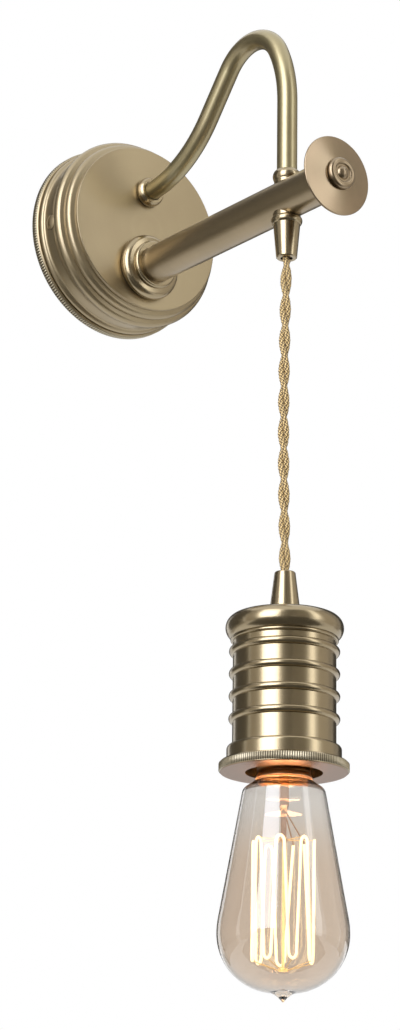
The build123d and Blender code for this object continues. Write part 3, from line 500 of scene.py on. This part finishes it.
class SCONCE_OT_knurls(Operator):
    """Cut the fine ridges into the edges of the wall plate and the shade ring"""
    bl_idname = "sconce.knurls"
    bl_label = "Knurled edges"

    def execute(self, context):
        plate_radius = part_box("wall_plate")[1].x
        ring_low, ring_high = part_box("shade_ring")
        rim, flange = 5.2 * MM, 5.0 * MM
        rim_margin, flange_margin = 0.7 * MM, 0.4 * MM

        def on_wall(radial, along, turn):
            return (radial * cos(turn), -along, radial * sin(turn))

        def on_lamp(radial, along, turn):
            return (LAMP_X + radial * cos(turn), LAMP_Y + radial * sin(turn), along)

        knurled_band("wall_plate_knurl", on_wall, plate_radius, rim_margin, rim - rim_margin,
                     "fixture", coarse=1.25)
        knurled_band("shade_ring_knurl", on_lamp, ring_high.x - LAMP_X, ring_low.z + flange_margin,
                     ring_low.z + flange - flange_margin, "pendant")
        return {"FINISHED"}


class SCONCE_OT_inner(Operator):
    """Finish the pieces inside the rose, the arm and the lampholder"""
    bl_idname = "sconce.inner"
    bl_label = "Inner pieces"

    def execute(self, context):
        steel = Finish("plated_steel", Metallic=1.0)
        grain = steel.noise(steel.place(), 600.0, 3.0)
        spangle = steel.noise(steel.place(), 90.0)
        steel.feed("Base Color", steel.mix(spangle, *STEEL))
        steel.feed("Roughness", 0.30 + 0.16 * grain)
        steel.bump(grain, 0.01 * MM)
        dress(steel.material, "arm_nut", "arm_washer", "neck_nut", "holder_nut", "arm_nipple",
              "holder_nipple", "outlet_nipple", "arm_bush", "end_bush", "earth_screw",
              "terminal_screws")

        contact = Finish("contact_brass", Metallic=1.0)
        tarnish = contact.noise(contact.place(), 140.0, 3.0)
        contact.feed("Base Color", contact.mix(tarnish, *CONTACT))
        contact.feed("Roughness", 0.24 + 0.18 * tarnish)
        dress(contact.material, "screw_shell", "contact_tongue", "holder_terminals", "earth_tag",
              "bulb_contact")

        moulding = Finish("dark_moulding", Roughness=0.5)
        grit = moulding.noise(moulding.place(), 900.0)
        tone = moulding.noise(moulding.place(), 60.0)
        moulding.feed("Base Color", moulding.mix(tone, *DARK_MOULDING))
        moulding.feed("Roughness", 0.42 + 0.16 * grit)
        moulding.bump(grit, 0.02 * MM)
        dress(moulding.material, "holder_insert")

        pale = Finish("pale_moulding", Roughness=0.45)
        fine = pale.noise(pale.place(), 800.0)
        pale.feed("Base Color", pale.mix(fine, *PALE_MOULDING))
        pale.feed("Roughness", 0.40 + 0.15 * fine)
        pale.bump(fine, 0.02 * MM)
        dress(pale.material, "terminal_block", "outlet_grip")
        return {"FINISHED"}


# ------------------------------------------------------------------ flex
def route_points(controls):
    """Points along the smooth line that a route's control points give."""
    line = curve_mesh(controls)
    points = [vertex.co.copy() for vertex in line.vertices]
    bpy.data.meshes.remove(line)
    return points


def braided_cloth():
    """Silky yarns that cross over and under; the strand's own coordinates give the braid."""
    finish = Finish("gold_braid", Sheen_Weight=0.3, Sheen_Roughness=0.4)
    around_it = finish.node("ShaderNodeAttribute", {"attribute_name": "around"}, output=2)
    along_it = finish.node("ShaderNodeAttribute", {"attribute_name": "along"}, output=2)
    right = around_it + along_it
    left = around_it - along_it
    over = 2.0 * ((right.whole() + left.whole()) * 0.5).part()
    yarn = over * right.part() + (1.0 - over) * left.part()
    height = 1.0 - (2.0 * yarn - 1.0).size()
    thread = finish.noise(finish.place(), 2600.0)
    tone = finish.noise(finish.place(), 140.0)
    flex = bpy.context.scene.sconce_flex
    # Painted shade: where the weave dips, the yarn takes the dark shade colour.
    top = finish.between(height, 0.28, 0.95)
    finish.feed("Base Color", finish.mix(top * (0.82 + 0.25 * tone), flex.shade, flex.yarn))
    finish.feed("Roughness", 0.36 + 0.25 * thread)
    finish.bump(height * 0.85 + thread * 0.15, 0.25 * MM, 1.0)
    return finish.material


class SCONCE_OT_flex(Operator):
    """Twist the two braided strands of the hanging flex"""
    bl_idname = "sconce.flex"
    bl_label = "Twisted flex"

    def execute(self, context):
        flex = context.scene.sconce_flex
        braid = braided_cloth()
        dress(braid, "inner_flex")
        # how far down from its top the flex stands how far to the side: it hangs in a slight bow
        bow = ((-0.4, 0.0), (12, -0.3), (48, -0.9), (86, -1.2), (124, -0.9), (158, -0.2))
        controls = [Vector((LAMP_X, LAMP_Y, FLEX_TOP_Z - down * MM)) + CAMERA_RIGHT * (shift * MM)
                    for down, shift in bow]
        centre = route_points(controls + [Vector((LAMP_X, LAMP_Y, FLEX_END_Z))])
        narrow_z = -60.5 * MM     # a height at which one strand hides the other in the photograph
        sides = 36
        relief = 0.30 * MM        # how deep the braid dips between two yarns
        vertices = []
        around_it = []
        along_it = []
        for strand in (0, 1):
            run = 0.0
            last = None
            for point in centre:
                by_holder = min(1.0, max(0.0, (HOLDER_TOP_Z + 6 * MM - point.z) / (8 * MM)))
                by_outlet = min(1.0, max(0.0, (point.z - FLEX_TOP_Z + 7 * MM) / (5 * MM)))
                spread = flex.spread * (1 - 0.35 * by_holder - 0.24 * by_outlet)
                turn = 2 * pi * (narrow_z - point.z) / flex.lay + strand * pi
                out = TOWARD_CAMERA * cos(turn) + CAMERA_RIGHT * sin(turn)
                slope = (CAMERA_RIGHT * cos(turn) - TOWARD_CAMERA * sin(turn)) \
                    * spread * 2 * pi / flex.lay
                along = (Vector((0, 0, -1)) + slope).normalized()
                side_way = along.cross(out).normalized()
                middle = point + out * spread
                run += (middle - last).length / flex.yarn_length if last else 0.0
                last = middle
                for side in range(sides + 1):
                    turned = flex.yarns * side / sides
                    bump = abs(cos(pi * (turned + run)) * cos(pi * (turned - run)))
                    radius = flex.strand - relief * (1 - bump)
                    angle = pi + 2 * pi * side / sides
                    vertices.append(middle + (out * cos(angle) + side_way * sin(angle)) * radius)
                    around_it.append(turned)
                    along_it.append(run)
        row = sides + 1
        shift = len(centre) * row
        faces = []
        for first in range(0, shift - row, row):
            for side in range(sides):
                here = first + side
                faces.append((here, here + 1, here + 1 + row, here + row))
        faces += [tuple(corner + shift for corner in face) for face in faces]
        for start in (0, shift):
            end = start + shift - row
            faces.append(tuple(range(start, start + sides)))
            faces.append(tuple(reversed(range(end, end + sides))))
        piece = piece_from("twisted_flex", vertices, faces, braid, "pendant",
                           ("flex", "flex_bend"))
        for name, numbers in (("around", around_it), ("along", along_it)):
            piece.data.attributes.new(name, "FLOAT", "POINT").data.foreach_set("value", numbers)
        [tuple(point) for point in centre]
        return {"FINISHED"}


# ------------------------------------------------------------------ bulb
def bulb_glass_finish():
    """Clear glass with a painted warm glow round the filament and painted shade where it is seen
    edge on.
    """
    bulb = bpy.context.scene.sconce_bulb
    finish = Finish("bulb_clear_glass", Roughness=0.0, IOR=GLASS_IOR, Transmission_Weight=1.0,
                    Specular_IOR_Level=1.0, Coat_Weight=1.0, Coat_Roughness=0.0, Coat_IOR=1.6)
    height = finish.axes(finish.place())[2]
    low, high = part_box("bulb_glass")
    cage_end, neck_start = low.z + 62 * MM, high.z - 22 * MM
    # Painted glow: the glass is tinted warmer round the filament.
    warm = finish.between(height, cage_end, neck_start, 1.0, 0.0)
    cloud = finish.noise(finish.place(), 30.0)
    # Painted shade: the glass is darker where it is seen edge on.
    facing = finish.node("ShaderNodeLayerWeight", inputs={"Blend": 0.5}, output=1)
    edge = finish.between(facing, 0.60, 0.95)
    tint = finish.mix(warm * (0.85 + 0.3 * cloud), bulb.tint, bulb.painted_glow_tint)
    finish.feed("Base Color", finish.mix(edge, tint, bulb.painted_edge_shade))
    return finish.material


def threaded_sleeve(name, radius, depth, low, high, fade, outline, material, stands_for,
                    body):
    """Thin sheet-metal sleeve with a rounded right-hand thread; outline gives its plain ends."""
    pitch = bpy.context.scene.sconce_bulb.thread_pitch
    sides = 72
    steps = 110
    wall = 0.3 * MM
    rings = []
    for step in range(steps + 1):
        height = low + (high - low) * step / steps
        strength = min(1.0, max(0.0, (height - low) / fade), max(0.0, (high - height) / fade))
        rings.append((height, radius, depth * strength))
    path = [*outline[0], *rings, *outline[1]]
    vertices = []
    for inset, part in ((0.0, path), (wall, reversed(path))):
        for height, plain_radius, wave in part:
            for side in range(sides):
                angle = 2 * pi * side / sides
                out = plain_radius - inset + wave * cos(2 * pi * height / pitch - angle)
                vertices.append((LAMP_X + out * cos(angle), LAMP_Y + out * sin(angle), height))
    piece_from(name, vertices, ring_faces(2 * len(path), sides), material, body, stands_for)


def cage_line():
    """The filament's line: long legs, and a narrow turn over each support wire."""
    low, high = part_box("bulb_filament")
    wire = 0.45 * MM          # radius of the model's own filament
    radius = (high.x - low.x) / 2 - wire
    top, foot = high.z - wire, low.z + wire
    strands = 14
    start_angle = 32.4
    step = 360 / (strands + 1)
    half_turn = 7.5
    # one turn over a wire: share of the half turn, millimetres back from the end of the cage
    turn = ((-1.0, 2.4), (-0.75, 1.0), (-0.35, 0.25), (0.0, 0.0), (0.35, 0.25), (0.75, 1.0),
            (1.0, 2.4))
    points = []
    for number in range(strands + 1):
        height, inward = (foot, 1) if number % 2 else (top, -1)
        ends = number in (0, strands)
        for share, back in (((0.0, 0.0),) if ends else turn):
            angle = radians(start_angle + number * step + share * half_turn)
            points.append(Vector((LAMP_X + radius * cos(angle), LAMP_Y + radius * sin(angle),
                                  height + inward * back * MM)))
    return points


class SCONCE_OT_bulb(Operator):
    """Blow the bulb's glass, press its cap and light its filament"""
    bl_idname = "sconce.bulb"
    bl_label = "Bulb"

    def execute(self, context):
        bulb = context.scene.sconce_bulb
        dress(bulb_glass_finish(), "bulb_glass")
        stem = Finish("stem_glass", Roughness=0.05, IOR=GLASS_IOR, Transmission_Weight=1.0,
                      Emission_Strength=0.55)
        streak = stem.noise(stem.place(), 120.0)
        cage_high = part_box("bulb_filament")[1]
        in_cage = stem.between(stem.axes(stem.place())[2], cage_high.z - 6 * MM, cage_high.z,
                               1.0, 0.0)
        stem.feed("Emission Color", stem.mix(in_cage, *STEM_GLOW))
        stem.feed("Base Color", stem.mix(streak, *STEM_GLASS))
        dress(stem.material, "bulb_stem")

        cap = Finish("lamp_cap_brass", Metallic=1.0)
        rub = cap.noise(cap.place(), 160.0, 3.0)
        low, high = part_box("bulb_cap")
        height = cap.axes(cap.place())[2]
        # Above its rim the cap is painted in a dark copy of its colour: painted shade inside the
        # ring.
        ring_shade_from, ring_shade_to = low.z + 1.2 * MM, low.z + 3.0 * MM
        tucked = cap.between(height, ring_shade_from, ring_shade_to)
        shiny = cap.mix(rub, *CAP_SHINY)
        shaded_cap = cap.mix(rub, *CAP_SHADED)
        cap.feed("Base Color", cap.mix(tucked, shiny, shaded_cap))
        cap.feed("Roughness", 0.24 + 0.16 * rub)
        # outlines: height, radius, depth of the thread there
        body_radius = 12.95 * MM
        rim_radius = high.x - LAMP_X
        skirt = ((low.z, rim_radius, 0.0), (low.z + 0.5 * MM, rim_radius, 0.0),
                 (low.z + 2.0 * MM, 13.2 * MM, 0.0), (low.z + 2.4 * MM, body_radius, 0.0))
        shoulder = ((high.z - 2.6 * MM, body_radius - 0.1 * MM, 0.0),
                    (high.z - 1.4 * MM, 12.0 * MM, 0.0), (high.z, 9.6 * MM, 0.0))
        threaded_sleeve("bulb_cap_thread", body_radius, 0.42 * MM, low.z + 2.8 * MM,
                        high.z - 3.0 * MM, 2.0 * MM, (skirt, shoulder), cap.material,
                        ("bulb_cap",), "lamp")
        shell_low, shell_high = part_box("screw_shell")
        shell_radius = 13.75 * MM
        lip = ((shell_low.z, shell_radius + 0.2 * MM, 0.0),)
        crown = ((shell_high.z, shell_radius, 0.0),)
        threaded_sleeve("screw_shell_thread", shell_radius, 0.32 * MM, shell_low.z + 0.4 * MM,
                        shell_high.z - 0.4 * MM, 1.5 * MM, (lip, crown),
                        bpy.data.materials["contact_brass"], ("screw_shell",),
                        "pendant")

        vitrite = Finish("black_glass", Coat_Weight=0.6)
        haze = vitrite.noise(vitrite.place(), 300.0)
        vitrite.feed("Base Color", vitrite.mix(haze, *BLACK_GLASS))
        vitrite.feed("Roughness", 0.15 + 0.2 * haze)
        dress(vitrite.material, "bulb_insulator")

        wire = Finish("support_wire", Metallic=1.0, Roughness=0.35)
        drawn = wire.noise(wire.place(), 500.0)
        wire.feed("Base Color", wire.mix(drawn, *WIRE))
        dress(wire.material, "bulb_leads")
        lit = Finish("lit_support_wire", Metallic=1.0, Roughness=0.35, Emission_Strength=0.45)
        drawn = lit.noise(lit.place(), 500.0)
        lit.feed("Base Color", lit.mix(drawn, *LIT_WIRE))
        lit.feed("Emission Color", lit.mix(drawn, *LIT_WIRE_GLOW))
        dress(lit.material, "bulb_hooks")

        NODES["bulb_glass"].visible_shadow = False
        glass_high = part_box("bulb_glass")[1]
        # a small disc over the cage throws the filament's light up at the cap and the ring
        data = bpy.data.lights.new("bulb_light", "AREA")
        data.shape = "DISK"
        data.size = 18 * MM
        data.energy = bulb.warmth
        data.color = BULB_LIGHT
        warm = bpy.data.objects.new("bulb_light", data)
        warm.location = (LAMP_X, LAMP_Y, cage_high.z + 0.3 * (glass_high.z - cage_high.z))
        warm.rotation_euler = (pi, 0, 0)
        warm.visible_camera = warm.visible_transmission = False
        context.scene.collection.objects.link(warm)

        glow = Finish("glowing_filament", Roughness=0.6, Base_Color=FILAMENT_BASE,
                      Emission_Strength=bulb.glow_strength)
        flicker = glow.noise(glow.place(), 90.0)
        glow.feed("Emission Color", glow.mix(flicker * 0.5, bulb.glow, FILAMENT_PALE))
        dress(glow.material, "bulb_filament")
        data = curve_mesh(cage_line(), bevel_depth=bulb.strand, bevel_resolution=3,
                          use_fill_caps=True)
        data.name = "cage_filament"
        add_piece("cage_filament", data, glow.material, "lamp", ("bulb_filament",))
        return {"FINISHED"}


# ------------------------------------------------------------------ studio
def around(azimuth, elevation, distance):
    """A place round the light: azimuth 0 is in front of the wall, positive to the right."""
    a, e = radians(azimuth), radians(elevation)
    return Vector((sin(a) * cos(e), -cos(a) * cos(e), sin(e))) * distance + STUDIO_CENTRE


def face_centre(thing, place):
    """Stand a lamp or a card at a place and turn it to the light."""
    thing.location = place
    thing.rotation_mode = "QUATERNION"
    thing.rotation_quaternion = (STUDIO_CENTRE - place).to_track_quat("-Z", "Y")
    bpy.context.scene.collection.objects.link(thing)


def soft_light(name, place, width, height, power, colour=(1, 1, 1)):
    """Rectangular lamp that shows in the metal and on the glass, but not through the glass."""
    data = bpy.data.lights.new(name, "AREA")
    data.shape = "RECTANGLE"
    data.size = width
    data.size_y = height
    data.energy = power
    data.color = colour
    data.spread = radians(110)
    lamp = bpy.data.objects.new(name, data)
    face_centre(lamp, place)
    lamp.visible_camera = lamp.visible_transmission = False


def dark_card(name, azimuth, width, tone, elevation=CARD_ELEVATION, distance=CARD_DISTANCE,
              height=CARD_HEIGHT):
    """Grey card that shows only as a darker band in the metal."""
    data = bpy.data.meshes.new(name)
    w, h = width / 2, height / 2
    data.from_pydata([(-w, -h, 0), (w, -h, 0), (w, h, 0), (-w, h, 0)], [], [(0, 1, 2, 3)])
    finish = Finish(name, Base_Color=tuple(part * tone for part in CARD_TINT), Roughness=1.0)
    data.materials.append(finish.material)
    card = bpy.data.objects.new(name, data)
    face_centre(card, around(azimuth, elevation, distance))
    card.visible_camera = card.visible_diffuse = False
    card.visible_shadow = card.visible_transmission = False


class SCONCE_OT_stage(Operator):
    """Set the floor, the lights and the photograph's camera"""
    bl_idname = "sconce.stage"
    bl_label = "Studio"

    def execute(self, context):
        scene = context.scene
        studio = scene.sconce_studio
        scene.view_settings.view_transform = "Standard"

        data = bpy.data.cameras.new("photo_camera")
        data.lens = CAMERA_LENS
        data.sensor_width = 36.0
        data.clip_start = 0.01
        data.clip_end = 100.0
        camera = bpy.data.objects.new("photo_camera", data)
        scene.collection.objects.link(camera)
        tilt, roll = radians(CAMERA_ELEVATION), radians(CAMERA_ROLL)
        back = TOWARD_CAMERA * cos(tilt) + Vector((0, 0, sin(tilt)))
        up = back.cross(CAMERA_RIGHT)
        right = CAMERA_RIGHT * cos(roll) + up * sin(roll)
        up = back.cross(right)
        facing = Matrix((right, up, back)).transposed()
        camera.matrix_world = Matrix.Translation(CAMERA_PLACE) @ facing.to_4x4()
        scene.camera = camera

        world = bpy.data.worlds.new("pale_studio")
        world.use_nodes = True
        scene.world = world
        tree = world.node_tree
        plain = tree.nodes["Background"]
        plain.inputs["Color"].default_value = WHITE
        plain.inputs["Strength"].default_value = studio.surround
        seen = tree.nodes.new("ShaderNodeBackground")
        seen.inputs["Color"].default_value = WHITE
        rays = tree.nodes.new("ShaderNodeLightPath")
        any_seen = Value(tree, rays.outputs["Is Camera Ray"]) \
            + Value(tree, rays.outputs["Is Glossy Ray"]) \
            + Value(tree, rays.outputs["Is Transmission Ray"])
        blend = tree.nodes.new("ShaderNodeMixShader")
        tree.links.new(any_seen.socket, blend.inputs[0])
        tree.links.new(plain.outputs[0], blend.inputs[1])
        tree.links.new(seen.outputs[0], blend.inputs[2])
        tree.links.new(blend.outputs[0], tree.nodes["World Output"].inputs["Surface"])

        mesh = bpy.data.meshes.new("floor")
        mesh.from_pydata([(x * FLOOR_REACH, y * FLOOR_REACH, FLOOR_Z)
                          for x, y in ((-1, -1), (1, -1), (1, 1), (-1, 1))], [], [(0, 1, 2, 3)])
        floor = bpy.data.objects.new("floor", mesh)
        scene.collection.objects.link(floor)
        pale = Finish("pale_floor", Roughness=0.9)
        mottle = pale.noise(pale.place(), 3.0)
        shade = tuple(0.97 * part for part in studio.floor)
        pale.feed("Base Color", pale.mix(mottle, studio.floor, shade))
        mesh.materials.append(pale.material)

        soft_light("key_light", around(-70.5, 20.0, LAMP_DISTANCE), 1.0, 2.0, studio.key, DAYLIGHT)
        soft_light("strip_light", around(25.0, 18.0, LAMP_DISTANCE), 0.34, 2.0, studio.rim)
        dark_card("card_front", -34.0, 0.80, 0.22)
        dark_card("card_front_right", -4.0, 1.00, 0.34)
        dark_card("card_right", 57.0, 1.13, 0.60)
        dark_card("card_far_right", 86.5, 0.66, 0.40)
        dark_card("card_left", -106.0, 0.85, 0.50)
        dark_card("card_back_left", -152.0, 1.70, 0.13)
        dark_card("card_back_right", 131.0, 2.70, 0.05, elevation=22.0, height=1.8)
        dark_card("card_low", CAMERA_AZIMUTH, 1.70, 0.10, elevation=-62.0, distance=0.62,
                  height=1.30)
        dark_card("card_back_low", -155.0, 1.60, 0.34, elevation=-34.0, distance=1.5, height=0.80)
        return {"FINISHED"}


# ------------------------------------------------------------------ add-on
class SCONCE_PT_panel(Panel):
    """Sizes, colours and steps of the hanging pendant wall sconce"""
    bl_idname = "SCONCE_PT_panel"
    bl_label = "Pendant sconce"
    bl_space_type = "VIEW_3D"
    bl_region_type = "UI"
    bl_category = "Sconce"

    def draw(self, context):
        for group in GROUPS:
            box = self.layout.box()
            settings = getattr(context.scene, group)
            for key in settings.bl_rna.properties.keys():
                if key not in ("rna_type", "name"):
                    box.prop(settings, key)
        for step in STEPS:
            self.layout.operator(step.bl_idname)


GROUPS = {"sconce_brass": BrassSettings, "sconce_flex": FlexSettings, "sconce_bulb": BulbSettings,
          "sconce_studio": StudioSettings}
STEPS = (SCONCE_OT_stage, SCONCE_OT_brass, SCONCE_OT_knurls, SCONCE_OT_inner, SCONCE_OT_flex,
         SCONCE_OT_bulb)


def register():
    for cls in (*GROUPS.values(), *STEPS, SCONCE_PT_panel):
        bpy.utils.register_class(cls)
    for name, cls in GROUPS.items():
        setattr(bpy.types.Scene, name, PointerProperty(type=cls))


def unregister():
    for name in GROUPS:
        delattr(bpy.types.Scene, name)
    for cls in (SCONCE_PT_panel, *reversed(STEPS), *reversed(tuple(GROUPS.values()))):
        bpy.utils.unregister_class(cls)


def main():
    register()
    bpy.ops.sconce.stage()
    bpy.ops.sconce.brass()
    bpy.ops.sconce.knurls()
    bpy.ops.sconce.inner()
    bpy.ops.sconce.flex()
    bpy.ops.sconce.bulb()


if __name__ == "__main__":
    main()
